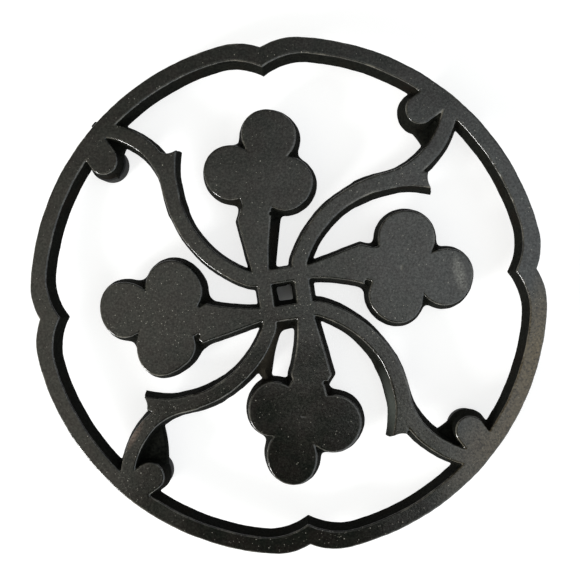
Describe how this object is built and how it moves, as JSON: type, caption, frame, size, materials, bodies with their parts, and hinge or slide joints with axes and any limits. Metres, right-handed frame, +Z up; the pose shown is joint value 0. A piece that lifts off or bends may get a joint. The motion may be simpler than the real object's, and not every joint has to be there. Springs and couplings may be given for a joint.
{
  "type": "trivet",
  "caption": "Round openwork cast-iron trivet: cusped rim, trefoils and curling scrolls around a square hub, on rubber feet that hold a hot pot clear of the table.",
  "frame": {"origin": "on the table, under the centre of the ring", "axes": "+Z up out of the face that the pot stands on; +Y along the arm whose trefoil is nearest it, +X to its right"},
  "size_m": [0.2026, 0.2026, 0.015],
  "materials": {
    "black_iron": "sand-cast, thin satin black paint",
    "foot_rubber": "moulded, matte"
  },
  "bodies": {
    "root": {"cast_frame": "black_iron", "rubber_foot_1": "foot_rubber", "rubber_foot_2": "foot_rubber", "rubber_foot_3": "foot_rubber", "rubber_foot_4": "foot_rubber"}
  },
  "joints": []
}
